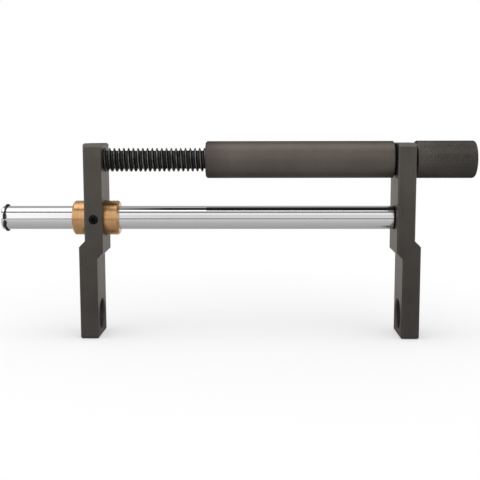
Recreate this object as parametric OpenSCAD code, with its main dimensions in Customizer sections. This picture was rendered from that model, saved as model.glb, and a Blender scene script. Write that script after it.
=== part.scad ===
// Brake caliper piston tool: a fixed arm and a sliding arm on one guide rod,
// driven apart and together by a knurled knob, a long nut sleeve and a spindle.
// +X runs along the rod towards the knob, +Y away from the front, +Z up.
// The origin is the middle of the whole tool, on the surface that the feet stand on.

/* [Arms] */
// Thickness of each arm, measured along the rod
arm_t = 15; // [13:0.5:20]
// Depth of each arm, front to back
arm_w = 40; // [36:1:50]
// Height of each arm, foot to top
arm_h = 164; // [162:1:190]
// Clear distance between the upper halves of the arms at rest
arm_gap = 244; // [232:1:255]
// Outward step from the upper half of an arm to its leg
leg_step = 5; // [2:0.5:8]
// Height where the inner face starts to step outward
step_z = 68; // [50:1:70]
// Height over which the upper half and the leg overlap
step_overlap = 15; // [12:1:16]
// Height of the leg hole above the foot
leg_hole_z = 18; // [16:1:34]
// Diameter of the leg hole
leg_hole_d = 25; // [10:0.5:28]
// Material above the spindle axis
arm_top = 14; // [13:0.5:24]
// Chamfer along the front and back of the top and of the foot
end_chamfer = 3; // [1:0.5:4]
// Break along the long edges and round the holes
edge_break = 1; // [0.5:0.25:1.5]

/* [Guide rod] */
// Diameter of the guide rod
rod_d = 20; // [16:0.5:22]
// Length of the guide rod
rod_l = 341; // [325:1:370]
// Chamfer on the free end of the rod
rod_chamfer = 1; // [0.5:0.25:2]
// Land between the free end and the ring groove
groove_land = 3.3; // [2.5:0.1:6]
// Depth of the ring groove
groove_depth = 0.5; // [0.3:0.1:1]

/* [Retaining ring] */
// Thickness of the ring
ring_t = 1.2; // [1:0.1:1.75]
// Width of the ring opposite its gap
ring_back_w = 2.6; // [2:0.1:3.2]
// Width of the ring next to its lugs
ring_lug_w = 1.4; // [1.2:0.1:2]
// Width of each lug
lug_w = 5.5; // [4:0.5:6]
// Height of each lug above the bottom of the groove
lug_h = 4.2; // [3.6:0.1:5]
// Gap between the lugs
lug_gap = 1.2; // [0.8:0.1:3]
// Diameter of the eye in each lug
eye_d = 2; // [1.5:0.1:2.5]
// Downward turn of the gap from the front
ring_turn = 5; // [-30:1:30]

/* [Guide bush] */
// Outer diameter of the guide bush
bush_d = 29; // [26:0.5:31]
// Length of the guide bush
bush_l = 39; // [30:1:50]
// How much more the bush stands out on the inside than on the outside, halved
bush_shift = 0.25; // [0:0.25:4]
// Chamfer on the ends of the bush
bush_chamfer = 1.5; // [0.5:0.25:2]
// Depth of the seat for the set screw's point in the bush
dimple_depth = 1.3; // [0.8:0.1:2]

/* [Spindle] */
// Outside diameter of the spindle
spindle_d = 20; // [16:0.5:20]
// Length of the spindle
spindle_l = 165; // [150:1:174]
// Height of the spindle's axis above the rod's axis
axis_spacing = 49; // [46:1:60]
// Chamfer on the free end of the spindle
spindle_chamfer = 2.5; // [1:0.5:3]
// Pitch of the thread
thread_pitch = 4; // [3:0.5:5]
// Depth of the thread
thread_depth = 2.4; // [1.5:0.1:2.6]
// Width of the thread's crests
crest_w = 0.6; // [0.4:0.1:1]
// Width of the thread's roots
root_w = 1.2; // [0.8:0.1:1.6]
// Plain length between the arm and the thread
thread_start = 1; // [0.5:0.5:4]
// Least plain length at the free end of the spindle
thread_end = 4; // [3.5:0.5:10]
// Diameter of the cross pin that keeps the spindle from turning
pin_d = 5; // [3:0.5:5]
// Length of the cross pin
pin_l = 26; // [24:1:30]

/* [Drive sleeve] */
// Outside diameter of the sleeve
sleeve_d = 31; // [30:0.5:36]
// Length of the sleeve
sleeve_l = 157; // [145:0.5:165]
// Wall of the sleeve round the nut
sleeve_wall = 3; // [2.5:0.25:3]
// Thickness of the closed end of the sleeve
sleeve_end = 6; // [4:0.5:10]
// Gap round the spindle inside the sleeve
sleeve_gap = 1; // [0.5:0.25:1.5]
// Chamfer on the mouth of the sleeve
mouth_chamfer = 1.3; // [0.5:0.1:1.4]
// Chamfer on the closed end of the sleeve
shoulder_chamfer = 0.5; // [0.5:0.25:2]
// Length of the nut in the mouth of the sleeve
nut_l = 30; // [20:1:40]
// Diameter of the two pins that lock the nut
nut_pin_d = 3; // [2:0.5:3]
// Length of the two pins that lock the nut
nut_pin_l = 12; // [8:1:18]

/* [Bearing in the fixed arm] */
// Diameter of the journal that runs through the fixed arm
journal_d = 18; // [16:0.5:18]
// Wall of the bush round the journal
journal_bush_wall = 3; // [2:0.5:3.5]
// Diameter of the thrust washers
washer_d = 26; // [25:0.5:29]
// Thickness of the thrust washers
washer_t = 1.5; // [1:0.25:3]

/* [Knob] */
// Diameter of the knob
knob_d = 31.5; // [30:0.5:40]
// Length of the knob
knob_l = 49.5; // [46:0.5:70]
// Chamfer on the ends of the knob
knob_chamfer = 1; // [0.5:0.25:2]
// Diameter of the spigot inside the knob
spigot_d = 14; // [13:0.5:15]
// Length of the spigot inside the knob
spigot_l = 24; // [22:0.5:25]
// Room past the end of the spigot, so that the screw pulls the knob home
spigot_room = 1; // [0.5:0.25:2]
// Wall that the knob's screw pulls on
knob_web = 5; // [3:0.5:6]
// Diameter of the recess in the end of the knob
recess_d = 20; // [18:0.5:22]
// Width and height of the key
key_w = 5; // [3:0.5:5]
// Length of the key
key_l = 16; // [10:1:20]

/* [Fasteners] */
// Nominal diameter of the screws
screw_d = 8; // [6:0.5:8]
// Length of the countersunk screws
flat_screw_l = 25; // [20:1:30]
// Head diameter of the countersunk screws
flat_head_d = 16; // [14:0.5:17]
// Across flats of the countersunk screws' sockets
flat_hex = 5; // [4:0.5:5]
// Length of the knob's screw under its head
knob_screw_l = 25; // [20:1:26]
// Head diameter of the knob's screw
cap_head_d = 13; // [12:0.5:14]
// Head height of the knob's screw
cap_head_h = 8; // [6:0.5:9]
// Across flats of the knob screw's socket
cap_hex = 6; // [4:0.5:6]
// Diameter of the washer under the knob's screw
plain_washer_d = 16; // [15:0.5:17.5]
// Thickness of the washer under the knob's screw
plain_washer_t = 1.6; // [1:0.1:2.5]
// How far the set screw sits below the front face
set_screw_sink = 0.5; // [0:0.1:0.6]
// Diameter of the set screw's point
dog_d = 5.5; // [4:0.5:5.5]
// Length of the set screw's point
dog_l = 1.8; // [1.6:0.1:2]
// Across flats of the set screw's socket
set_screw_hex = 4; // [3:0.5:4]
// Depth of the sockets
socket_depth = 3; // [2:0.25:3]
// Depth of the tapped holes in the rod, the spindle and the spigot
tap_depth = 21; // [20.5:0.5:22]

/* [Fits] */
// Radial clearance of the rod, the journal and the spindle where they run
running_fit = 0.05; // [0.02:0.01:0.1]
// Radial clearance of pieces that are seated in each other
seat_fit = 0.02; // [0.01:0.01:0.05]
// Radial clearance of a screw in a plain hole
hole_fit = 0.25; // [0.2:0.05:0.5]
// End play of the drive at each thrust washer
end_play = 0.1; // [0.05:0.05:0.3]
// Wall left behind each blind seat in an arm
seat_wall = 6; // [5:0.5:7]

/* [Hidden] */
$fn = 96;

steel_dark = [0.29, 0.28, 0.27];
steel_black = [0.12, 0.12, 0.11];
steel_bright = [0.72, 0.72, 0.72];
chrome = [0.88, 0.88, 0.88];
bronze = [0.80, 0.58, 0.35];

spindle_z = arm_h - arm_top;
rod_z = spindle_z - axis_spacing;
seat_depth = arm_t - seat_wall;
past = 1;

groove_w = ring_t + 2 * running_fit;
ring_in_r = rod_d / 2 - groove_depth + seat_fit;
rod_free_end = seat_depth - rod_l;

bush_mid = arm_t / 2 - bush_shift;
pin_drop = spindle_d / 2 - pin_d / 4;
journal_bush_d = journal_d + 2 * running_fit + 2 * journal_bush_wall;
nut_d = sleeve_d - 2 * sleeve_wall;

// The spindle's thread, with stations along Z from the spindle's free end
core_r = spindle_d / 2 - thread_depth;
flank_w = (thread_pitch - crest_w - root_w) / 2;
thread_from = spindle_l - seat_depth - thread_start;
thread_rings = floor((thread_from - thread_end - flank_w) / thread_pitch);

// Stations along X in the fixed arm's frame, where its inner face is 0
sleeve_right = -(washer_t + end_play);
sleeve_left = sleeve_right - sleeve_l;
knob_left = arm_t + washer_t + end_play;
spigot_right = knob_left + spigot_l;
web_left = spigot_right + spigot_room;
web_right = web_left + knob_web;
knob_right = knob_left + knob_l;

// The middle of the tool's length goes to the origin
x_shift = -(rod_free_end + knob_right) / 2;

// Frames of the two arms: +X is outward from each inner face
module right_side() {
    translate([x_shift, 0, 0]) children();
}

module left_side() {
    translate([x_shift - arm_gap, 0, 0]) mirror([1, 0, 0]) children();
}

// Turns a piece that was made along +Z so that it runs along +X
module along_x(x, z) {
    translate([x, 0, z]) rotate([0, 90, 0]) children();
}

function bar_profile(r, l, c0, c1) = concat(
    [[0, 0]],
    c0 > 0 ? [[r - c0, 0], [r, c0]] : [[r, 0]],
    c1 > 0 ? [[r, l - c1], [r - c1, l]] : [[r, l]],
    [[0, l]]
);

// Round bar along +Z with a chamfer on either end
module bar(d, l, c0 = 0, c1 = 0) {
    rotate_extrude() polygon(bar_profile(d / 2, l, c0, c1));
}

// Round hole along +Z from 0 to l that runs a little past both ends
module hole(d, l) {
    translate([0, 0, -past]) cylinder(d = d, h = l + 2 * past);
}

// Chamfer at the mouth of a hole of diameter d: the mouth is at 0 and the hole runs along +Z
module mouth(d, c) {
    translate([0, 0, -past]) cylinder(d1 = d + 2 * (c + past), d2 = d, h = c + past);
}

// Hexagon socket that runs down from 0
module hex_socket(across) {
    translate([0, 0, -socket_depth])
        cylinder(d = across / cos(30), h = socket_depth + past, $fn = 6);
}

// Rectangle with its four corners cut off, low corners by c0 and high corners by c1
function cut_corners(x0, x1, y0, y1, c0, c1) = concat(
    c0 > 0 ? [[x0, y0 + c0], [x0 + c0, y0], [x1 - c0, y0], [x1, y0 + c0]] : [[x0, y0], [x1, y0]],
    c1 > 0 ? [[x1, y1 - c1], [x1 - c1, y1], [x0 + c1, y1], [x0, y1 - c1]] : [[x1, y1], [x0, y1]]
);

// Half of an arm from its front outline and its side outline, with the long edges broken
module arm_half(front, side, x0, x1) {
    half_w = arm_w / 2;
    intersection() {
        rotate([90, 0, 0]) linear_extrude(arm_w, center = true) polygon(front);
        translate([x0, 0, 0]) rotate([90, 0, 90]) linear_extrude(x1 - x0) polygon(side);
        linear_extrude(arm_h)
            polygon(cut_corners(x0, x1, -half_w, half_w, edge_break, edge_break));
    }
}

// Bare arm: the upper half stands on the inner side, the leg steps outward under it
module arm_blank() {
    half_w = arm_w / 2;
    b = edge_break;
    leg_in = leg_step;
    leg_out = leg_step + arm_t;
    leg_h = step_z + step_overlap;
    arm_half(
        [[arm_t, step_z], [arm_t, arm_h - b], [arm_t - b, arm_h], [b, arm_h], [0, arm_h - b],
            [0, step_z + leg_step], [leg_step, step_z]],
        cut_corners(-half_w, half_w, step_z, arm_h, 0, end_chamfer),
        0, arm_t
    );
    arm_half(
        [[leg_in + b, 0], [leg_out - b, 0], [leg_out, b], [leg_out, leg_h - leg_step],
            [leg_out - leg_step, leg_h], [leg_in, leg_h], [leg_in, b]],
        cut_corners(-half_w, half_w, 0, leg_h, end_chamfer, 0),
        leg_in, leg_out
    );
}

// Hole through the leg, broken at both faces
module leg_hole() {
    along_x(leg_step, leg_hole_z) {
        hole(leg_hole_d, arm_t);
        mouth(leg_hole_d, edge_break);
        translate([0, 0, arm_t]) mirror([0, 0, 1]) mouth(leg_hole_d, edge_break);
    }
}

// Blind seat from the inner face, with a countersunk screw hole behind it
module blind_seat(d, z) {
    along_x(0, z) {
        translate([0, 0, -past]) cylinder(d = d + 2 * seat_fit, h = seat_depth + past);
        hole(screw_d + 2 * hole_fit, arm_t);
        translate([0, 0, arm_t]) mirror([0, 0, 1])
            mouth(screw_d, (flat_head_d - screw_d) / 2 + seat_fit);
    }
}

// Countersunk screw with its head flush with the outer face of an arm
module flat_screw(z) {
    head_h = (flat_head_d - screw_d) / 2;
    along_x(arm_t, z) difference() {
        union() {
            translate([0, 0, -flat_screw_l]) bar(screw_d, flat_screw_l, edge_break);
            translate([0, 0, -head_h]) cylinder(d1 = screw_d, d2 = flat_head_d, h = head_h);
        }
        hex_socket(flat_hex);
    }
}

module right_arm() {
    color(steel_dark) right_side() difference() {
        arm_blank();
        leg_hole();
        blind_seat(rod_d, rod_z);
        along_x(0, spindle_z) hole(journal_bush_d + 2 * seat_fit, arm_t);
    }
}

module left_arm() {
    bore_d = bush_d + 2 * seat_fit;
    color(steel_dark) left_side() difference() {
        arm_blank();
        leg_hole();
        blind_seat(spindle_d, spindle_z);
        along_x(0, rod_z) {
            hole(bore_d, arm_t + leg_step);
            mouth(bore_d, edge_break);
            translate([0, 0, arm_t]) mirror([0, 0, 1]) mouth(bore_d, edge_break);
        }
        translate([bush_mid, -arm_w / 2, rod_z]) rotate([-90, 0, 0])
            hole(screw_d + 2 * seat_fit, (arm_w - bush_d) / 2);
        pin_place() hole(pin_d + 2 * seat_fit, pin_l);
    }
}

// Chromed rod, seated in the fixed arm and grooved for the retaining ring at its free end
module guide_rod() {
    groove_d = rod_d - 2 * groove_depth;
    color(chrome) right_side() along_x(rod_free_end, rod_z) difference() {
        bar(rod_d, rod_l, rod_chamfer);
        translate([0, 0, groove_land]) difference() {
            cylinder(d = rod_d + 2 * past, h = groove_w);
            hole(groove_d, groove_w);
        }
        translate([0, 0, rod_l - tap_depth]) cylinder(d = screw_d + 2 * seat_fit, h = tap_depth + past);
    }
}

// Ring with an off-centre outside, two lugs with eyes and a gap that faces the front
module rod_circlip() {
    ring_r = ring_in_r + (ring_back_w + ring_lug_w) / 2;
    off_centre = (ring_back_w - ring_lug_w) / 2;
    lug_r = ring_in_r + lug_h - lug_w / 2;
    lug_turn = asin((lug_gap + lug_w) / 2 / lug_r);
    color(steel_black) right_side()
        along_x(rod_free_end + groove_land + running_fit, rod_z)
        rotate([0, 0, -90 + ring_turn]) difference() {
            union() {
                translate([-off_centre, 0, 0]) cylinder(r = ring_r, h = ring_t);
                for (side = [-1, 1])
                    rotate([0, 0, side * lug_turn]) translate([lug_r, 0, 0])
                        cylinder(d = lug_w, h = ring_t);
            }
            hole(2 * ring_in_r, ring_t);
            translate([0, -lug_gap / 2, -past]) cube([rod_d, lug_gap, ring_t + 2 * past]);
            for (side = [-1, 1])
                rotate([0, 0, side * lug_turn]) translate([lug_r, 0, 0]) hole(eye_d, ring_t);
        }
}

module rod_end_screw() {
    color(steel_black) right_side() flat_screw(rod_z);
}

// Bush pressed into the fixed arm, in which the journal runs
module journal_bush() {
    color(bronze) right_side() along_x(0, spindle_z) difference() {
        bar(journal_bush_d, arm_t);
        hole(journal_d + 2 * running_fit, arm_t);
    }
}

// Washer along +Z that the journal passes through
module thrust_washer() {
    difference() {
        bar(washer_d, washer_t);
        hole(journal_d + 2 * running_fit, washer_t);
    }
}

module inner_thrust_washer() {
    color(steel_black) right_side() along_x(-washer_t, spindle_z) thrust_washer();
}

module outer_thrust_washer() {
    color(steel_black) right_side() along_x(arm_t, spindle_z) thrust_washer();
}

// Bush that slides on the rod, with a seat for the set screw's point
module guide_bush() {
    bore_d = rod_d + 2 * running_fit;
    color(bronze) left_side() difference() {
        along_x(bush_mid - bush_l / 2, rod_z) difference() {
            bar(bush_d, bush_l, bush_chamfer, bush_chamfer);
            hole(bore_d, bush_l);
            mouth(bore_d, edge_break / 2);
            translate([0, 0, bush_l]) mirror([0, 0, 1]) mouth(bore_d, edge_break / 2);
        }
        translate([bush_mid, -bush_d / 2 - past, rod_z]) rotate([-90, 0, 0])
            cylinder(d = dog_d + 2 * seat_fit, h = dimple_depth + past);
    }
}

// Set screw with a socket and a cylindrical point, in the front of the sliding arm
module bush_set_screw() {
    front = -arm_w / 2 + set_screw_sink;
    point = -bush_d / 2 + dimple_depth - seat_fit;
    color(steel_black) left_side() translate([bush_mid, point, rod_z]) rotate([90, 0, 0]) difference() {
        union() {
            cylinder(d = dog_d, h = dog_l + past);
            translate([0, 0, dog_l]) bar(screw_d, point - front - dog_l);
        }
        translate([0, 0, point - front]) hex_socket(set_screw_hex);
    }
}

// Where the cross pin goes in from the back of the sliding arm, clear of the spindle's screw
module pin_place() {
    translate([seat_depth / 2, arm_w / 2, spindle_z - pin_drop]) rotate([90, 0, 0]) children();
}

// One ridge of the thread, from the end of its crest that is nearer to the arm
function ridge(r, top) = [
    [core_r, top - crest_w - flank_w], [r, top - crest_w], [r, top], [core_r, top + flank_w]
];

// Outline of the spindle from its free end, with the thread as a row of rings
function spindle_profile(r) = concat(
    [[0, 0], [core_r - spindle_chamfer, 0], [core_r, spindle_chamfer]],
    [for (k = [thread_rings : -1 : 1]) each ridge(r, thread_from + crest_w - k * thread_pitch)],
    [[core_r, thread_from - flank_w], [r, thread_from], [r, spindle_l], [0, spindle_l]]
);

// Spindle, seated in the sliding arm and held there by a screw and a cross pin
module spindle() {
    color(steel_black) left_side() difference() {
        along_x(seat_depth - spindle_l, spindle_z) difference() {
            rotate_extrude() polygon(spindle_profile(spindle_d / 2));
            translate([0, 0, spindle_l - tap_depth])
                cylinder(d = screw_d + 2 * seat_fit, h = tap_depth + past);
        }
        pin_place() hole(pin_d + 2 * seat_fit, pin_l);
    }
}

module spindle_end_screw() {
    color(steel_black) left_side() flat_screw(spindle_z);
}

module spindle_pin() {
    color(steel_bright) left_side() pin_place() bar(pin_d, pin_l);
}

// Two pins on the joint line between the nut and the sleeve
module nut_pin_places() {
    for (side = [-1, 1])
        along_x(sleeve_left, spindle_z) translate([0, side * nut_d / 2, 0]) children();
}

// Sleeve that carries the nut, closed at the arm, with the journal and the knob's spigot on it
module drive_sleeve() {
    color(steel_dark) right_side() difference() {
        union() {
            along_x(sleeve_left, spindle_z) bar(sleeve_d, sleeve_l, mouth_chamfer, shoulder_chamfer);
            along_x(sleeve_right - past, spindle_z) bar(journal_d, knob_left - sleeve_right + past);
            along_x(knob_left - past, spindle_z) bar(spigot_d, spigot_l + past, 0, edge_break);
        }
        along_x(sleeve_left, spindle_z) {
            translate([0, 0, -past])
                cylinder(d = spindle_d + 2 * sleeve_gap, h = sleeve_l - sleeve_end + past);
            translate([0, 0, -past]) cylinder(d = nut_d + 2 * seat_fit, h = nut_l + past);
        }
        nut_pin_places() translate([0, 0, -past])
            cylinder(d = nut_pin_d + 2 * seat_fit, h = nut_pin_l + past);
        along_x(spigot_right - tap_depth, spindle_z)
            cylinder(d = screw_d + 2 * seat_fit, h = tap_depth + past);
        key_block(seat_fit);
    }
}

// Nut pressed into the mouth of the sleeve
module spindle_nut() {
    bore_d = spindle_d + 2 * running_fit;
    color(bronze) right_side() difference() {
        along_x(sleeve_left, spindle_z) difference() {
            bar(nut_d, nut_l);
            hole(bore_d, nut_l);
            mouth(bore_d, edge_break);
        }
        nut_pin_places() translate([0, 0, -past])
            cylinder(d = nut_pin_d + 2 * seat_fit, h = nut_pin_l + past);
    }
}

module nut_pins() {
    color(steel_bright) right_side() nut_pin_places() bar(nut_pin_d, nut_pin_l);
}

// Block of the key, grown by the fit: half of its height is in the spigot
module key_block(fit) {
    translate([
        knob_left + (spigot_l - key_l) / 2 - fit,
        -key_w / 2 - fit,
        spindle_z + spigot_d / 2 - key_w / 2 - fit
    ]) cube([key_l + 2 * fit, key_w + 2 * fit, key_w + 2 * fit]);
}

// Knob on the spigot, with a recess for its screw in the free end
module knob() {
    slot_h = key_w / 2 + seat_fit;
    color(steel_dark) right_side() difference() {
        along_x(knob_left, spindle_z) bar(knob_d, knob_l, knob_chamfer, knob_chamfer);
        along_x(knob_left - past, spindle_z)
            cylinder(d = spigot_d + 2 * seat_fit, h = web_left - knob_left + past);
        along_x(web_left, spindle_z) hole(screw_d + 2 * hole_fit, knob_web);
        along_x(web_right, spindle_z) cylinder(d = recess_d, h = knob_right - web_right + past);
        along_x(knob_right, spindle_z) mirror([0, 0, 1]) mouth(recess_d, edge_break);
        translate([knob_left - past, -key_w / 2 - seat_fit, spindle_z])
            cube([web_left - knob_left + past, key_w + 2 * seat_fit, spigot_d / 2 + slot_h]);
    }
}

module knob_key() {
    color(steel_bright) right_side() key_block(0);
}

// Socket screw in the recess of the knob
module knob_screw() {
    color(steel_black) right_side() along_x(web_right + plain_washer_t, spindle_z) difference() {
        union() {
            translate([0, 0, -knob_screw_l]) bar(screw_d, knob_screw_l + past, edge_break);
            bar(cap_head_d, cap_head_h, 0, edge_break);
        }
        translate([0, 0, cap_head_h]) hex_socket(cap_hex);
    }
}

module knob_washer() {
    color(steel_bright) right_side() along_x(web_right, spindle_z) difference() {
        bar(plain_washer_d, plain_washer_t);
        hole(screw_d + 2 * hole_fit, plain_washer_t);
    }
}

right_arm();
guide_rod();
rod_circlip();
rod_end_screw();
journal_bush();
inner_thrust_washer();
outer_thrust_washer();
left_arm();
guide_bush();
bush_set_screw();
spindle();
spindle_end_screw();
spindle_pin();
drive_sleeve();
spindle_nut();
nut_pins();
knob();
knob_key();
knob_screw();
knob_washer();
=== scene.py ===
import math

import bmesh
import bpy
from mathutils import Matrix, Vector


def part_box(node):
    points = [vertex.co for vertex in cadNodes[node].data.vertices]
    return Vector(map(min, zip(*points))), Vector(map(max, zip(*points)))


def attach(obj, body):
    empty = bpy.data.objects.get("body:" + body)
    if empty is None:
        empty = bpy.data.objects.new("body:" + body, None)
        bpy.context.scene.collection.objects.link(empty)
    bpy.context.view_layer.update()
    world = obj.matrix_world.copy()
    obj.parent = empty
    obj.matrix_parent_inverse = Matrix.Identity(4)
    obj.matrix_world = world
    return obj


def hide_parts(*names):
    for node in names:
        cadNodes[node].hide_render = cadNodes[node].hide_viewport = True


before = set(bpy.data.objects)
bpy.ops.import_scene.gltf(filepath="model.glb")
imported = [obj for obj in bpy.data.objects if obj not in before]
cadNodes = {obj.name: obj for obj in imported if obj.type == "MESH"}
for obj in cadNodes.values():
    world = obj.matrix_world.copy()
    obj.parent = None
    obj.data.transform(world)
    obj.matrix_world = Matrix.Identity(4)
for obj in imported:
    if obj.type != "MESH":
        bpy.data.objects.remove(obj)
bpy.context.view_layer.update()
scene = bpy.context.scene
scene.view_settings.view_transform = "Standard"
print("frame loaded:", len(cadNodes), "nodes")


# node helpers, used by materials and by geometry trees
def addNode(tree, kind, settings=None, inputs=None):
    node = tree.nodes.new(kind)
    for key, value in (settings or {}).items():
        setattr(node, key, value)
    for key, value in (inputs or {}).items():
        if isinstance(value, bpy.types.NodeSocket):
            tree.links.new(value, node.inputs[key])
        else:
            node.inputs[key].default_value = value
    return node


def calc(tree, operation, *values):
    return addNode(tree, "ShaderNodeMath", {"operation": operation}, dict(enumerate(values))).outputs[0]


def remap(tree, value, fromMin, fromMax, toMin, toMax, smooth=False):
    settings = {"interpolation_type": "SMOOTHSTEP" if smooth else "LINEAR", "clamp": True}
    return addNode(tree, "ShaderNodeMapRange", settings, {
        "Value": value, "From Min": fromMin, "From Max": fromMax, "To Min": toMin, "To Max": toMax,
    }).outputs[0]


def blend(tree, first, second, share):  # share is how much of the second there is
    rest = calc(tree, "MULTIPLY", first, 1 - share)
    return calc(tree, "ADD", rest, calc(tree, "MULTIPLY", second, share))


def mixColors(tree, factor, first, second):
    node = addNode(tree, "ShaderNodeMix", {"data_type": "RGBA"}, {0: factor, 6: first, 7: second})
    return node.outputs[2]


def separate(tree, vector):
    return addNode(tree, "ShaderNodeSeparateXYZ", None, {0: vector}).outputs


def vectorMath(tree, operation, inputs):
    return addNode(tree, "ShaderNodeVectorMath", {"operation": operation}, inputs).outputs


def gray(value, warm=0.0):
    return (value * (1 + warm), value, value * (1 - warm), 1)


# materials
coreSpan, midSpan, wideSpan = (0.4, 0.6), (0.35, 0.65), (0.3, 0.7)  # runs of a noise's values
edgeSpan = (0.999, 0.94)  # cosines between flat and rounded normal, where an edge begins and is full
bevelSamples = 6


def startMaterial(name):
    material = bpy.data.materials.new(name)
    material.use_nodes = True
    tree = material.node_tree
    coords = addNode(tree, "ShaderNodeTexCoord").outputs["Object"]
    return material, tree, tree.nodes["Principled BSDF"], coords


def dress(tree, shader, links, values):  # links feed the shader's sockets, values are fixed
    for socket, source in links.items():
        tree.links.new(source, shader.inputs[socket])
    for socket, value in values.items():
        shader.inputs[socket].default_value = value


def noise(tree, coords, scale, detail=3.0, stretch=None):
    if stretch:
        coords = addNode(tree, "ShaderNodeMapping", None, {"Vector": coords, "Scale": stretch}).outputs[0]
    return addNode(tree, "ShaderNodeTexNoise", None, {
        "Vector": coords, "Scale": scale, "Detail": detail, "Roughness": 0.6,
    }).outputs[0]


def softEdges(tree, radius):  # rounded normal along the edges, and where those edges are
    rounded = addNode(tree, "ShaderNodeBevel", {"samples": bevelSamples}, {"Radius": radius}).outputs[0]
    flat = addNode(tree, "ShaderNodeNewGeometry").outputs["Normal"]
    along = vectorMath(tree, "DOT_PRODUCT", {0: rounded, 1: flat})["Value"]
    return rounded, remap(tree, along, *edgeSpan, 0.0, 1.0)


def addBump(tree, height, look, normal=None):
    inputs = {"Height": height, "Strength": look["bump"], "Distance": look["bumpDepth"]}
    if normal is not None:
        inputs["Normal"] = normal
    return addNode(tree, "ShaderNodeBump", None, inputs).outputs[0]


def rubbedPatches(tree, look, cloud):  # worn places on what the piece's surface stores as raised
    raised = addNode(tree, "ShaderNodeAttribute", {"attribute_name": look["raised"]}).outputs["Fac"]
    patch = remap(tree, cloud, *coreSpan, look["patchLeast"], 1)
    return calc(tree, "MULTIPLY", remap(tree, raised, *look["raisedSpan"], 0, 1), patch)


def burnishedSteel(name, look):
    material, tree, shader, coords = startMaterial(name)
    cloud = noise(tree, coords, look["cloudScale"], 5)
    lines = noise(tree, coords, 1.0, 4, look["lineScale"])
    grain = noise(tree, coords, look["grainScale"], 2)
    normal, edge = softEdges(tree, look["edgeRadius"])
    scratchLine = noise(tree, coords, 1.0, 2, look["scratchScale"])
    scratch = remap(tree, scratchLine, *look["scratchSpan"], 0, 1)
    tone = remap(tree, blend(tree, cloud, lines, look["lineShare"]), *midSpan, 0, 1)
    color = mixColors(tree, tone, gray(look["dark"], look["warm"]), gray(look["light"], look["warm"]))
    wear = calc(tree, "MULTIPLY", edge, look["edgeWear"])
    wear = calc(tree, "MAXIMUM", wear, calc(tree, "MULTIPLY", scratch, look["scratchWear"]))
    if "raised" in look:  # the tips of the knurl are rubbed
        tips = rubbedPatches(tree, look, cloud)
        wear = calc(tree, "MAXIMUM", wear, calc(tree, "MULTIPLY", tips, look["raisedWear"]))
    color = mixColors(tree, wear, color, gray(look["bare"], look["warm"]))
    # colour darkens along one axis: on the arms this is painted shade towards the floor; the sleeve darkens
    # towards its mouth end, the knob towards its outer end
    shade = remap(tree, separate(tree, coords)[look["shadeAxis"]], *look["shadeRun"], look["shade"], 1.0)
    color = vectorMath(tree, "SCALE", {0: color, "Scale": shade})[0]
    rough = blend(tree, cloud, grain, look["grainRough"])
    height = blend(tree, lines, grain, look["grainHeight"])
    dress(tree, shader, {
        "Base Color": color,
        "Roughness": remap(tree, rough, *wideSpan, look["roughMin"], look["roughMax"]),
        "Normal": addBump(tree, height, look, normal),
    }, {"Metallic": look["metallic"], "Specular Tint": gray(look["edgeTint"], look["edgeWarm"])})
    return material


armLook = {
    "dark": 0.098, "light": 0.126, "bare": 0.22, "warm": 0.1,
    "metallic": 0.85, "edgeTint": 0.71, "edgeWarm": 0.05,
    # painted shade: the arms darken towards the floor
    "shadeAxis": "Z", "shadeRun": (0.07, 0.15), "shade": 0.74,
    "roughMin": 0.36, "roughMax": 0.46, "grainScale": 1700, "grainRough": 0.5, "grainHeight": 0.4,
    "cloudScale": 38, "lineScale": (500, 500, 14), "lineShare": 0.25,
    "edgeRadius": 0.0006, "edgeWear": 0.45,
    "scratchScale": (90, 90, 420), "scratchSpan": (0.78, 0.8), "scratchWear": 0.5,
    "bump": 0.14, "bumpDepth": 0.00006,
}
sleeveLook = dict(
    armLook, dark=0.148, light=0.188, warm=0.13, metallic=1.0, edgeTint=0.3, edgeWarm=0.0,
    shadeAxis="X", shadeRun=(-0.026, -0.004), shade=0.66, roughMin=0.5, roughMax=0.58,
    cloudScale=30, lineScale=(1500, 7, 7), edgeRadius=0.0004, scratchScale=(60, 260, 260),
)
knobLook = dict(
    armLook, dark=0.094, light=0.126, warm=0.09, metallic=1.0, edgeTint=0.3, edgeWarm=0.0,
    shadeAxis="X", shadeRun=(0.19, 0.155), shade=0.8, roughMin=0.44, roughMax=0.52,
    lineScale=(300, 300, 300), edgeRadius=0.0002, edgeWear=0.25, bump=0.1,
    raised="tip", raisedSpan=(0.55, 0.9), raisedWear=0.4, patchLeast=0.2,
)
armSteel = burnishedSteel("arm_burnished_steel", armLook)
sleeveSteel = burnishedSteel("sleeve_burnished_steel", sleeveLook)
knobSteel = burnishedSteel("knob_burnished_steel", knobLook)

blackLook = {
    "dark": 0.03, "light": 0.065, "warm": 0.03, "worn": 0.3, "wornWarm": 0.03,
    "metallic": 0.85, "edgeTint": 0.3, "edgeRadius": 0.0003, "edgeWear": 0.5,
    "roughMin": 0.34, "roughMax": 0.5, "cloudScale": 160, "grainScale": 2400,
    "bump": 0.2, "bumpDepth": 0.00005,
}
screwLook = dict(blackLook, dark=0.008, light=0.02, worn=0.06)
threadLook = dict(blackLook, wornWarm=0.05, raised="crest", raisedSpan=(0.8, 1.0), patchLeast=0.25)


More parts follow.
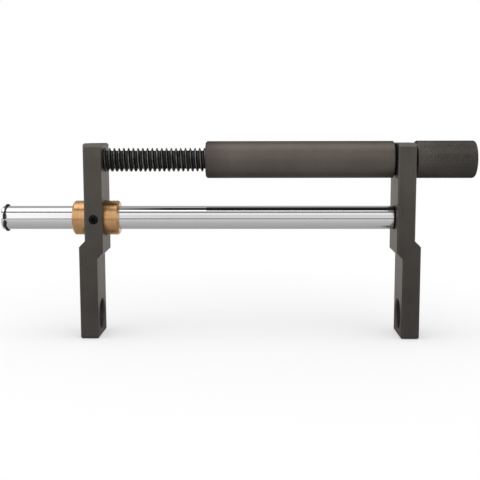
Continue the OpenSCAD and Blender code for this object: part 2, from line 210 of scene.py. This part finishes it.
def blackOxide(name, look):
    material, tree, shader, coords = startMaterial(name)
    cloud = noise(tree, coords, look["cloudScale"], 4)
    grain = noise(tree, coords, look["grainScale"], 2)
    tone = remap(tree, cloud, *midSpan, 0, 1)
    color = mixColors(tree, tone, gray(look["dark"], look["warm"]), gray(look["light"], look["warm"]))
    if "raised" in look:  # the crests of the thread are rubbed
        normal = None
        wear = rubbedPatches(tree, look, cloud)
    else:
        normal, edge = softEdges(tree, look["edgeRadius"])
        wear = calc(tree, "MULTIPLY", edge, look["edgeWear"])
    dress(tree, shader, {
        "Base Color": mixColors(tree, wear, color, gray(look["worn"], look["wornWarm"])),
        "Roughness": remap(tree, grain, *wideSpan, look["roughMin"], look["roughMax"]),
        "Normal": addBump(tree, grain, look, normal),
    }, {"Metallic": look["metallic"], "Specular Tint": gray(look["edgeTint"])})
    return material


blackSteel = blackOxide("black_oxide_steel", blackLook)
screwSteel = blackOxide("black_oxide_screws", screwLook)
threadSteel = blackOxide("black_oxide_thread", threadLook)

rodLook = {
    "dark": 0.9408, "light": 0.9792, "roughMin": 0.09, "roughMax": 0.13, "stretch": 1.0,
    "ringScale": (2200, 4, 4), "smudgeScale": 24, "smudgeSpan": (0.35, 0.7),
    # the seat values paint a shadow ring on the rod where it enters the right arm
    "seatShadowFrom": 0.0014, "seatShadowFull": 0.00112, "seatShadowColor": 0.012, "seatShadowRough": 0.5,
    "bump": 0.02, "bumpDepth": 0.00002,
}


def polishedChrome(name, look, seatX):
    material, tree, shader, coords = startMaterial(name)
    rings = noise(tree, coords, 1.0, 3, look["ringScale"])
    smudge = noise(tree, coords, look["smudgeScale"], 4)
    color = mixColors(tree, smudge, gray(look["dark"]), gray(look["light"]))
    rough = remap(tree, smudge, *look["smudgeSpan"], look["roughMin"], look["roughMax"])
    # painted shadow: a near-black, rougher ring on the rod at the mouth of the right arm's seat
    along = separate(tree, coords)["X"]
    seatShadow = remap(tree, along, seatX - look["seatShadowFrom"], seatX - look["seatShadowFull"], 0, 1)
    color = mixColors(tree, seatShadow, color, gray(look["seatShadowColor"]))
    rough = calc(tree, "MAXIMUM", rough, calc(tree, "MULTIPLY", seatShadow, look["seatShadowRough"]))
    # grinding marks run round the rod and smear along it
    lengthwise = addNode(tree, "ShaderNodeCombineXYZ", None, {"X": 1.0, "Y": 0.0, "Z": 0.0}).outputs[0]
    dress(tree, shader, {
        "Base Color": color, "Roughness": rough, "Tangent": lengthwise, "Normal": addBump(tree, rings, look),
    }, {"Metallic": 1.0, "Anisotropic": look["stretch"]})
    return material


rodChrome = polishedChrome("hard_chrome", rodLook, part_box("right_arm")[0].x)

bronzeLook = {
    "dark": (0.67, 0.375, 0.17, 1), "light": (0.88, 0.52, 0.255, 1), "toneSpan": (0.38, 0.62),
    "tarnish": (0.45, 0.225, 0.1, 1), "tarnishSpan": (0.6, 0.75), "tarnishMost": 0.5,
    "roughMin": 0.24, "roughMax": 0.33, "ringScale": (1800, 5, 5), "cloudScale": 90, "cloudShare": 0.5,
    "edgeRadius": 0.0004, "bump": 0.05, "bumpDepth": 0.00005,
}


def turnedBronze(name, look):
    material, tree, shader, coords = startMaterial(name)
    rings = noise(tree, coords, 1.0, 4, look["ringScale"])
    cloud = noise(tree, coords, look["cloudScale"], 5)
    tone = blend(tree, rings, cloud, look["cloudShare"])
    color = mixColors(tree, remap(tree, tone, *look["toneSpan"], 0, 1), look["dark"], look["light"])
    tarnish = remap(tree, cloud, *look["tarnishSpan"], 0, look["tarnishMost"])
    rounded = softEdges(tree, look["edgeRadius"])[0]
    dress(tree, shader, {
        "Base Color": mixColors(tree, tarnish, color, look["tarnish"]),
        "Roughness": remap(tree, tone, *midSpan, look["roughMin"], look["roughMax"]),
        "Normal": addBump(tree, rings, look, rounded),
    }, {"Metallic": 1.0})
    return material


bushBronze = turnedBronze("turned_bronze", bronzeLook)

brightLook = {
    "dark": 0.36, "light": 0.5, "roughMin": 0.24, "roughMax": 0.36, "cloudScale": 300, "grainScale": 2600,
    "bump": 0.1, "bumpDepth": 0.00004,
}


def groundSteel(name, look):
    material, tree, shader, coords = startMaterial(name)
    cloud = noise(tree, coords, look["cloudScale"], 4)
    grain = noise(tree, coords, look["grainScale"], 2)
    tone = remap(tree, cloud, *midSpan, 0, 1)
    dress(tree, shader, {
        "Base Color": mixColors(tree, tone, gray(look["dark"]), gray(look["light"])),
        "Roughness": remap(tree, grain, *wideSpan, look["roughMin"], look["roughMax"]),
        "Normal": addBump(tree, grain, look),
    }, {"Metallic": 1.0})
    return material


brightSteel = groundSteel("ground_steel", brightLook)

nodeFinish = {
    armSteel: ("right_arm", "left_arm"),
    sleeveSteel: ("drive_sleeve",),
    knobSteel: ("knob",),
    rodChrome: ("guide_rod",),
    bushBronze: ("guide_bush", "journal_bush", "spindle_nut"),
    blackSteel: ("rod_circlip", "spindle"),
    screwSteel: ("rod_end_screw", "bush_set_screw", "spindle_end_screw", "knob_screw", "inner_thrust_washer",
                 "outer_thrust_washer"),
    brightSteel: ("spindle_pin", "nut_pins", "knob_key", "knob_washer"),
}
for material, names in nodeFinish.items():
    for name in names:
        cadNodes[name].data.materials.clear()
        cadNodes[name].data.materials.append(material)
print("finished nodes:", sum(len(names) for names in nodeFinish.values()))


# turned shells round the drive axis: each profile is a run of (x, radius) with the metal on its right
def turnedMesh(name, profiles, around, axisHeight):
    mesh = bpy.data.meshes.new(name)
    shell = bmesh.new()
    turns = [2 * math.pi * k / around for k in range(around)]
    for profile in profiles:
        rings = []
        for x, radius in profile:
            if radius == 0:
                rings.append([shell.verts.new((x, 0, axisHeight))] * around)
                continue
            places = [(x, radius * math.cos(t), axisHeight + radius * math.sin(t)) for t in turns]
            rings.append([shell.verts.new(place) for place in places])
        for ring, nextRing in zip(rings, rings[1:]):
            for k in range(around):
                corners = (ring[k - 1], ring[k], nextRing[k], nextRing[k - 1])
                shell.faces.new(list(dict.fromkeys(corners)))
    shell.to_mesh(mesh)
    shell.free()
    return mesh


# what is cut out of a piece, as an object that the piece's tree takes away
cutterSides = 40
cutterPast = 0.001  # how far a cutter stands out of the face that it enters


def cutterObject(name, shell):
    mesh = bpy.data.meshes.new(name)
    shell.to_mesh(mesh)
    shell.free()
    cutter = bpy.data.objects.new(name, mesh)
    scene.collection.objects.link(cutter)
    return cutter


def barCutter(name, ends, radius):
    shell = bmesh.new()
    for start, end in ends:
        run = Vector(end) - Vector(start)
        turn = run.to_track_quat("Z", "Y").to_matrix().to_4x4()
        bmesh.ops.create_cone(
            shell, cap_ends=True, segments=cutterSides, radius1=radius, radius2=radius, depth=run.length,
            matrix=Matrix.Translation(Vector(start) + run / 2) @ turn,
        )
    return cutterObject(name, shell)


def boxCutter(name, xs, ys, zs):
    shell = bmesh.new()
    corners = [shell.verts.new((x, y, z)) for x in xs for y in ys for z in zs]
    bmesh.ops.convex_hull(shell, input=corners)
    return cutterObject(name, shell)


# geometry trees
socketKinds = {float: "NodeSocketFloat", int: "NodeSocketInt", bool: "NodeSocketBool"}
weldDistance = 0.000004


def startTree(name, sizes):
    tree = bpy.data.node_groups.new(name, "GeometryNodeTree")
    face = tree.interface
    face.new_socket("Geometry", in_out="INPUT", socket_type="NodeSocketGeometry")
    for label, value in sizes.items():
        face.new_socket(label, in_out="INPUT", socket_type=socketKinds[type(value)])
    face.new_socket("Cutter", in_out="INPUT", socket_type="NodeSocketObject")
    face.new_socket("Material", in_out="INPUT", socket_type="NodeSocketMaterial")
    face.new_socket("Geometry", in_out="OUTPUT", socket_type="NodeSocketGeometry")
    source = addNode(tree, "NodeGroupInput").outputs
    return tree, source


def endTree(tree, geometry, source, sharpAngle):
    cutter = addNode(tree, "GeometryNodeObjectInfo", None, {"Object": source["Cutter"]}).outputs["Geometry"]
    geometry = addNode(tree, "GeometryNodeMeshBoolean", {"operation": "DIFFERENCE", "solver": "EXACT"}, {
        "Mesh 1": geometry, "Mesh 2": cutter}).outputs[0]
    edgeAngle = addNode(tree, "GeometryNodeInputMeshEdgeAngle").outputs[0]
    geometry = addNode(tree, "GeometryNodeSetShadeSmooth", {"domain": "FACE"}, {
        "Geometry": geometry, "Shade Smooth": True}).outputs[0]
    geometry = addNode(tree, "GeometryNodeSetShadeSmooth", {"domain": "EDGE"}, {
        "Geometry": geometry, "Selection": calc(tree, "GREATER_THAN", edgeAngle, math.radians(sharpAngle)),
        "Shade Smooth": False}).outputs[0]
    geometry = addNode(tree, "GeometryNodeRealizeInstances", None, {"Geometry": geometry}).outputs[0]
    geometry = addNode(tree, "GeometryNodeSetMaterial", None, {
        "Geometry": geometry, "Material": source["Material"]}).outputs[0]
    addNode(tree, "NodeGroupOutput", None, {"Geometry": geometry})


def gridPlace(tree):  # where a grid's points are before they move; the grid's middle is at zero
    return separate(tree, addNode(tree, "GeometryNodeInputPosition").outputs[0])


def onAxis(tree, along, radius, turn, axisHeight):  # position from station, radius and share of a turn
    angle = calc(tree, "MULTIPLY", turn, 2 * math.pi)
    return addNode(tree, "ShaderNodeCombineXYZ", None, {
        "X": along,
        "Y": calc(tree, "MULTIPLY", radius, calc(tree, "COSINE", angle)),
        "Z": calc(tree, "MULTIPLY_ADD", radius, calc(tree, "SINE", angle), axisHeight),
    }).outputs[0]


def storeValue(tree, geometry, name, value):  # kept on the points, for the material to read
    return addNode(tree, "GeometryNodeStoreNamedAttribute", {"data_type": "FLOAT", "domain": "POINT"}, {
        "Geometry": geometry, "Name": name, "Value": value}).outputs[0]


def joinAndWeld(tree, *parts):
    join = addNode(tree, "GeometryNodeJoinGeometry")
    for part in parts:
        tree.links.new(part, join.inputs[0])
    return addNode(tree, "GeometryNodeMergeByDistance", None, {
        "Geometry": join.outputs[0], "Distance": weldDistance}).outputs[0]


def makePiece(name, mesh, tree, sizes, material, cutter):
    piece = bpy.data.objects.new(name, mesh)
    scene.collection.objects.link(piece)
    modifier = piece.modifiers.new(tree.name, "NODES")
    modifier.node_group = tree
    values = dict(sizes, Material=material, Cutter=cutter)
    for item in tree.interface.items_tree:
        if item.in_out == "INPUT" and item.name in values:
            modifier[item.identifier] = values[item.name]
    made = piece.evaluated_get(bpy.context.evaluated_depsgraph_get())
    finished = bpy.data.meshes.new_from_object(made)
    piece.modifiers.remove(modifier)
    bpy.data.objects.remove(cutter)
    piece.data = finished
    finished.name = name
    return piece


# thread surface from a sheared grid whose rows run along the helix
threadProfile = (  # share of the pitch, share of the depth
    (0, 0), (0.12, 0.0), (0.2, 0.1), (0.40, 0.92), (0.44, 1),
    (0.56, 1), (0.60, 0.92), (0.8, 0.1), (0.88, 0), (1, 0),
)
threadRunIn = 0.0006  # half of the length over which the thread begins
threadSharp = 38  # degrees between faces from which an edge is sharp
threadSizes = {
    "Start": 0.0, "End": 0.0, "Pitch": 0.004, "Core Radius": 0.00755, "Crest Radius": 0.01,
    "Crest At": -0.10387, "Steps per Turn": 16, "Around": 72, "Thread From": 0.0, "Start Chamfer": 0.0,
    "End Chamfer": 0.0, "Axis Height": 0.15, "Inside": False,
}


def threadHeight(tree, phase):
    shape = addNode(tree, "ShaderNodeFloatCurve", None, {"Value": phase})
    curve = shape.mapping.curves[0]
    for x, y in threadProfile[1:-1]:
        curve.points.new(x, y)
    curve.points[0].location, curve.points[-1].location = threadProfile[0], threadProfile[-1]
    for point in curve.points:
        point.handle_type = "AUTO_CLAMPED"
    shape.mapping.update()
    return shape.outputs[0]


def threadTree(name):
    tree, source = startTree(name, threadSizes)
    pitch, start, end, crest = source["Pitch"], source["Start"], source["End"], source["Crest Radius"]
    step = calc(tree, "DIVIDE", pitch, source["Steps per Turn"])
    fromCrest = calc(tree, "SUBTRACT", start, source["Crest At"])
    turnsBack = calc(tree, "FLOOR", calc(tree, "DIVIDE", fromCrest, pitch))
    first = calc(tree, "MULTIPLY_ADD", calc(tree, "SUBTRACT", turnsBack, 1.0), pitch, source["Crest At"])
    rows = calc(tree, "CEIL", calc(tree, "DIVIDE", calc(tree, "SUBTRACT", end, first), step))
    reach = calc(tree, "MULTIPLY", rows, step)
    grid = addNode(tree, "GeometryNodeMeshGrid", None, {
        "Size X": reach, "Size Y": 1.0, "Vertices X": calc(tree, "ADD", rows, 1.0),
        "Vertices Y": calc(tree, "ADD", source["Around"], 1.0),
    }).outputs[0]
    place = gridPlace(tree)
    turn = calc(tree, "ADD", place["Y"], 0.5)
    run = calc(tree, "ADD", place["X"], calc(tree, "MULTIPLY_ADD", reach, 0.5, first))
    sheared = calc(tree, "MULTIPLY_ADD", turn, pitch, run)
    along = calc(tree, "MINIMUM", end, calc(tree, "MAXIMUM", start, sheared))
    ahead = calc(tree, "SUBTRACT", along, calc(tree, "MULTIPLY_ADD", turn, pitch, source["Crest At"]))
    phase = calc(tree, "FRACT", calc(tree, "ADD", calc(tree, "DIVIDE", ahead, pitch), 0.5))
    height = threadHeight(tree, phase)
    fromThread = calc(tree, "SUBTRACT", along, source["Thread From"])
    cut = remap(tree, fromThread, -threadRunIn, threadRunIn, 0, 1, True)
    depth = calc(tree, "SUBTRACT", crest, source["Core Radius"])
    drop = calc(tree, "MULTIPLY", calc(tree, "MULTIPLY", depth, cut), calc(tree, "SUBTRACT", 1.0, height))
    outer = inner = calc(tree, "SUBTRACT", crest, drop)
    fromStart, fromEnd = calc(tree, "SUBTRACT", along, start), calc(tree, "SUBTRACT", end, along)
    for distance, chamfer in ((fromStart, source["Start Chamfer"]), (fromEnd, source["End Chamfer"])):
        narrow, wide = calc(tree, "SUBTRACT", crest, chamfer), calc(tree, "ADD", crest, chamfer)
        outer = calc(tree, "MINIMUM", outer, calc(tree, "ADD", narrow, distance))
        inner = calc(tree, "MAXIMUM", inner, calc(tree, "SUBTRACT", wide, distance))
    radius = addNode(tree, "GeometryNodeSwitch", {"input_type": "FLOAT"}, {
        "Switch": source["Inside"], "False": outer, "True": inner}).outputs[0]
    surface = storeValue(tree, grid, "crest", calc(tree, "MULTIPLY", height, cut))
    surface = addNode(tree, "GeometryNodeSetPosition", None, {
        "Geometry": surface, "Position": onAxis(tree, along, radius, turn, source["Axis Height"])}).outputs[0]
    turned = addNode(tree, "GeometryNodeFlipFaces", None, {"Mesh": surface}).outputs[0]
    surface = addNode(tree, "GeometryNodeSwitch", {"input_type": "GEOMETRY"}, {
        "Switch": source["Inside"], "False": turned, "True": surface}).outputs[0]
    endTree(tree, joinAndWeld(tree, source["Geometry"], surface), source, threadSharp)
    return tree


sleeveLow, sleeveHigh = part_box("drive_sleeve")
axisHeight = (sleeveLow.z + sleeveHigh.z) / 2
around = threadSizes["Around"]
thread = threadTree("thread")

# spindle, with the tapped hole for its end screw and the hole for its pin
spindleLow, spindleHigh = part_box("spindle")
pinLow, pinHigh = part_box("spindle_pin")
spindleBody = {"tapRadius": 0.00402, "tapDepth": 0.021, "pinHole": 0.00252, "threadInArm": 0.0004}
spindleSizes = dict(threadSizes, **{
    "Start": spindleLow.x, "End": spindleHigh.x, "End Chamfer": 0.0025, "Axis Height": axisHeight,
    "Thread From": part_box("left_arm")[1].x - spindleBody["threadInArm"],
})
tapEnd, tapRadius = spindleLow.x + spindleBody["tapDepth"], spindleBody["tapRadius"]
crestRadius = spindleSizes["Crest Radius"]
spindleEnds = turnedMesh("spindle_ends", [
    [(tapEnd, 0), (tapEnd, tapRadius), (spindleLow.x, tapRadius), (spindleLow.x, crestRadius)],
    [(spindleHigh.x, crestRadius - spindleSizes["End Chamfer"]), (spindleHigh.x, 0)],
], around, axisHeight)
pinX, pinZ = (pinLow.x + pinHigh.x) / 2, (pinLow.z + pinHigh.z) / 2
pinRun = ((pinX, pinLow.y, pinZ), (pinX, pinHigh.y, pinZ))
pinHole = barCutter("pin_hole", [pinRun], spindleBody["pinHole"])
spindle = makePiece("threaded_spindle", spindleEnds, thread, spindleSizes, threadSteel, pinHole)
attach(spindle, "sliding_arm")
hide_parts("spindle")
print("spindle:", len(spindle.data.polygons), "faces")

# nut with the same thread inside, a little wider, so that the two run clear of each other
nutLow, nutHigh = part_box("spindle_nut")
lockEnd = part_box("nut_pins")[1].x
nutBody = {"outerRadius": 0.0125, "clearance": 0.0001, "chamfer": 0.0003, "pinHole": 0.00152}
nutOuter = nutBody["outerRadius"]
nutSizes = dict(threadSizes, **{
    "Start": nutLow.x, "End": nutHigh.x, "Thread From": nutLow.x - threadSizes["Pitch"],
    "Core Radius": threadSizes["Core Radius"] + nutBody["clearance"],
    "Crest Radius": threadSizes["Crest Radius"] + nutBody["clearance"],
    "Start Chamfer": nutBody["chamfer"], "End Chamfer": nutBody["chamfer"],
    "Axis Height": axisHeight, "Inside": True,
})
nutMouth = nutSizes["Crest Radius"] + nutBody["chamfer"]
nutShell = turnedMesh("nut_shell", [
    [(nutLow.x, nutMouth), (nutLow.x, nutOuter), (nutHigh.x, nutOuter), (nutHigh.x, nutMouth)],
], around, axisHeight)
lockRuns = [((nutLow.x - cutterPast, y, axisHeight), (lockEnd, y, axisHeight)) for y in (-nutOuter, nutOuter)]
lockHoles = barCutter("lock_holes", lockRuns, nutBody["pinHole"])
nut = makePiece("threaded_nut", nutShell, thread, nutSizes, bushBronze, lockHoles)
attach(nut, "drive")
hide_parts("spindle_nut")
print("nut:", len(nut.data.polygons), "faces")

# diamond knurl from a grid: every second point is a tip, the others are where the grooves cross
knurlSharp = 25  # degrees between faces from which an edge is sharp
knurlSizes = {
    "Start": 0.0, "End": 0.0, "Groove Radius": 0.01536, "Depth": 0.00038, "Around": 80, "Along": 40,
    "Axis Height": 0.15,
}


def knurlTree(name):
    tree, source = startTree(name, knurlSizes)
    columns = calc(tree, "ADD", source["Around"], 1.0)
    rows = calc(tree, "ADD", source["Along"], 1.0)
    length = calc(tree, "SUBTRACT", source["End"], source["Start"])
    grid = addNode(tree, "GeometryNodeMeshGrid", None, {
        "Size X": length, "Size Y": 1.0, "Vertices X": rows, "Vertices Y": columns}).outputs[0]
    place = gridPlace(tree)
    turn = calc(tree, "ADD", place["Y"], 0.5)
    fromStart = calc(tree, "MULTIPLY_ADD", length, 0.5, place["X"])
    along = calc(tree, "ADD", source["Start"], fromStart)
    share = calc(tree, "DIVIDE", fromStart, length)
    row = calc(tree, "ROUND", calc(tree, "MULTIPLY", share, source["Along"]))
    column = calc(tree, "ROUND", calc(tree, "MULTIPLY", turn, source["Around"]))
    tip = calc(tree, "SUBTRACT", 1.0, calc(tree, "MODULO", calc(tree, "ADD", row, column), 2.0))
    # the first and the last row stay down, where the end faces join on
    inside = calc(tree, "MULTIPLY", calc(tree, "GREATER_THAN", row, 0.5),
                  calc(tree, "LESS_THAN", row, calc(tree, "SUBTRACT", source["Along"], 0.5)))
    tip = calc(tree, "MULTIPLY", tip, inside)
    radius = calc(tree, "ADD", source["Groove Radius"], calc(tree, "MULTIPLY", tip, source["Depth"]))
    surface = storeValue(tree, grid, "tip", tip)
    surface = addNode(tree, "GeometryNodeSetPosition", None, {
        "Geometry": surface, "Position": onAxis(tree, along, radius, turn, source["Axis Height"])}).outputs[0]
    surface = addNode(tree, "GeometryNodeTriangulate", {"quad_method": "SHORTEST_DIAGONAL"}, {
        "Mesh": surface}).outputs[0]
    surface = addNode(tree, "GeometryNodeFlipFaces", None, {"Mesh": surface}).outputs[0]
    endTree(tree, joinAndWeld(tree, source["Geometry"], surface), source, knurlSharp)
    return tree


# knob: end faces, the recess for its screw, the web that the screw clamps, and the bore with its keyway
knobBody = {
    "faceRadius": 0.0148, "knurlInset": 0.00065, "recessRadius": 0.01, "recessChamfer": 0.001,
    "recessDepth": 0.0195, "webThickness": 0.005, "screwHole": 0.00425, "spigotBore": 0.00702,
    "keywayHalf": 0.00252, "keywayTop": 0.00952,
}


def knobProfile(left, right, sizes, groove):
    webRight = right - sizes["recessDepth"]
    webLeft = webRight - sizes["webThickness"]
    inset, chamfer = sizes["knurlInset"], sizes["recessChamfer"]
    return webLeft, [
        (right - inset, groove), (right, sizes["faceRadius"]),
        (right, sizes["recessRadius"] + chamfer), (right - chamfer, sizes["recessRadius"]),
        (webRight, sizes["recessRadius"]), (webRight, sizes["screwHole"]), (webLeft, sizes["screwHole"]),
        (webLeft, sizes["spigotBore"]), (left, sizes["spigotBore"]), (left, sizes["faceRadius"]),
        (left + inset, groove),
    ]


knobLow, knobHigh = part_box("knob")
knobSizes = dict(knurlSizes, **{
    "Start": knobLow.x + knobBody["knurlInset"], "End": knobHigh.x - knobBody["knurlInset"],
    "Axis Height": axisHeight,
})
keywayEnd, profile = knobProfile(knobLow.x, knobHigh.x, knobBody, knobSizes["Groove Radius"])
knobShell = turnedMesh("knob_shell", [profile], knobSizes["Around"], axisHeight)
keyway = boxCutter(
    "keyway", (knobLow.x - cutterPast, keywayEnd), (-knobBody["keywayHalf"], knobBody["keywayHalf"]),
    (axisHeight, axisHeight + knobBody["keywayTop"]),
)
knob = makePiece("knurled_knob", knobShell, knurlTree("knurl"), knobSizes, knobSteel, keyway)
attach(knob, "drive")
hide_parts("knob")
print("knob:", len(knob.data.polygons), "faces")

# studio: white for what the camera and the metal see, softer for the light itself
studio = {
    "ambient": 0.68, "floorHalf": 6, "floorDark": 0.9108, "floorLight": 0.92, "floorRough": 0.9,
    "mottleScale": 8, "fadeFrom": 0.15, "fadeTo": 0.4, "nearShare": 0.45,
}


def seenDirectly(tree):
    path = addNode(tree, "ShaderNodeLightPath").outputs
    seen = calc(tree, "MAXIMUM", path["Is Camera Ray"], path["Is Glossy Ray"])
    return calc(tree, "MAXIMUM", seen, path["Is Transmission Ray"])


def mixShaders(tree, factor, first, second):
    return addNode(tree, "ShaderNodeMixShader", None, {0: factor, 1: first, 2: second}).outputs[0]


def glow(tree, kind, color, strength):
    return addNode(tree, kind, None, {"Color": color, "Strength": strength}).outputs[0]


world = bpy.data.worlds.new("studio")
world.use_nodes = True
scene.world = world
worldTree = world.node_tree
worldTree.nodes.clear()
softWorld = glow(worldTree, "ShaderNodeBackground", gray(1.0), studio["ambient"])
whiteWorld = glow(worldTree, "ShaderNodeBackground", gray(1.0), 1.0)
shownWorld = mixShaders(worldTree, seenDirectly(worldTree), softWorld, whiteWorld)
addNode(worldTree, "ShaderNodeOutputWorld", None, {"Surface": shownWorld})


def stageSheet(name, corners, material):
    mesh = bpy.data.meshes.new(name)
    mesh.from_pydata(corners, [], [range(len(corners))])
    sheet = bpy.data.objects.new(name, mesh)
    mesh.materials.append(material)
    scene.collection.objects.link(sheet)
    return sheet


def floorMaterial():
    material, tree, shader, coords = startMaterial("pale_floor")
    mottle = noise(tree, coords, studio["mottleScale"], 2)
    dress(tree, shader, {
        "Base Color": mixColors(tree, mottle, gray(studio["floorDark"]), gray(studio["floorLight"])),
    }, {"Roughness": studio["floorRough"], "Specular IOR Level": 0.0})
    # farther from the tool the floor turns into the white ground
    distance = vectorMath(tree, "LENGTH", {0: coords})["Value"]
    fade = remap(tree, distance, studio["fadeFrom"], studio["fadeTo"], studio["nearShare"], 1, True)
    fade = calc(tree, "MULTIPLY", fade, seenDirectly(tree))
    backdrop = glow(tree, "ShaderNodeEmission", gray(1.0), 1.0)
    mixed = mixShaders(tree, fade, shader.outputs[0], backdrop)
    tree.links.new(mixed, tree.nodes["Material Output"].inputs["Surface"])
    return material


half = studio["floorHalf"]
stageSheet("floor", [(-half, -half, 0), (half, -half, 0), (half, half, 0), (-half, half, 0)], floorMaterial())


# cards shape what the bright metal mirrors, and stay out of the picture and the light
def cardMaterial(name, card):
    material, tree, _, coords = startMaterial(name)
    level = remap(tree, separate(tree, coords)[card["axis"]], *card["fade"], *card["levels"])
    shown = glow(tree, "ShaderNodeEmission", level, 1.0)
    tree.links.new(shown, tree.nodes["Material Output"].inputs["Surface"])
    return material


# edges are (y, z) of the two long sides, fade is the run along the axis over which the levels go
cardSpan = (-2, 2)  # x of the ends of a card that gives none
cards = {
    "floor_card": {
        "edges": ((-0.56, 0.0004), (0.12, 0.0004)),
        "axis": "Y", "fade": (-0.25, 0.02), "levels": (0.56, 0.35)},
    "back_card": {
        "edges": ((0.42, 1.1), (1.18, 0.26)),
        "axis": "Y", "fade": (0.42, 1.18), "levels": (0.42, 0.36)},
    "dark_strip": {
        "edges": ((-0.49, 0.807), (-0.332, 0.893)),
        "axis": "X", "fade": (-0.36, -0.26), "levels": (0.02, 0.02)},
    "upper_card": {
        "edges": ((-0.66, 0.75), (-0.492, 0.806)),
        "axis": "X", "fade": (-0.36, -0.26), "levels": (1.0, 0.6)},
    "front_card": {
        "edges": ((-1.0, 0.06), (-0.9, 0.75)),
        "axis": "X", "fade": (-0.36, -0.26), "levels": (1.0, 0.64)},
    # painted shade: dark sheets between the rod and the sleeve and spindle, seen only in reflections, darken
    # the sleeve's underside and draw a dark line in the rod
    "sleeve_flag": {
        "edges": ((-0.0086, 0.112), (-0.0029, 0.112)),
        "axis": "X", "fade": (0, 0.1), "levels": (0.015, 0.015), "span": (-0.0255, 0.1325)},
    "spindle_flag": {
        "edges": ((-0.0077, 0.112), (-0.0038, 0.112)),
        "axis": "X", "fade": (-0.107, -0.06), "levels": (0.3, 0.02), "span": (-0.107, -0.0255)},
    "camera_card": {
        "edges": ((-0.55, 0.001), (-1.0, 0.06)),
        "axis": "X", "fade": (-0.36, -0.26), "levels": (0.36, 0.12)},
}
for name, card in cards.items():
    (nearY, nearZ), (farY, farZ) = card["edges"]
    left, right = card.get("span", cardSpan)
    corners = [(left, nearY, nearZ), (right, nearY, nearZ), (right, farY, farZ), (left, farY, farZ)]
    sheet = stageSheet(name, corners, cardMaterial(name, card))
    sheet.visible_camera = sheet.visible_diffuse = sheet.visible_shadow = False

lampAim = Vector((0, 0, 0.09))
lamps = {
    "top_lamp": {"place": (-0.1, -0.4, 1.15), "size": (2.0, 1.4), "power": 8.0, "mirrored": False},
    "ridge_lamp": {"place": (0, -0.06, 1.0), "size": (2.4, 0.5), "power": 1.5, "mirrored": True},
}
for name, lamp in lamps.items():
    light = bpy.data.lights.new(name, "AREA")
    light.shape, light.energy = "RECTANGLE", lamp["power"]
    light.size, light.size_y = lamp["size"]
    lampObject = bpy.data.objects.new(name, light)
    aim = (lampAim - Vector(lamp["place"])).to_track_quat("-Z", "Y")
    lampObject.matrix_world = Matrix.Translation(lamp["place"]) @ aim.to_matrix().to_4x4()
    lampObject.visible_glossy = lamp["mirrored"]
    scene.collection.objects.link(lampObject)
print("studio ready")

# camera, fitted to the straight edges in the photograph
cameraSizes = {
    "place": (0.0154, -0.724, 0.1704), "down": 6.976, "right": -0.993, "roll": 0.11,
    "lens": 64.23, "sensor": 36.0, "nearest": 0.01,
}


def addCamera(sizes):
    data = bpy.data.cameras.new("camera")
    data.lens, data.sensor_width = sizes["lens"], sizes["sensor"]
    data.clip_start = sizes["nearest"]
    camera = bpy.data.objects.new("camera", data)
    turn = Matrix.Rotation(-math.radians(sizes["right"]), 4, "Z")
    tilt = Matrix.Rotation(math.radians(90 - sizes["down"]), 4, "X")
    roll = Matrix.Rotation(-math.radians(sizes["roll"]), 4, "Z")
    camera.matrix_world = Matrix.Translation(sizes["place"]) @ turn @ tilt @ roll
    scene.collection.objects.link(camera)
    scene.camera = camera


addCamera(cameraSizes)

print("done")
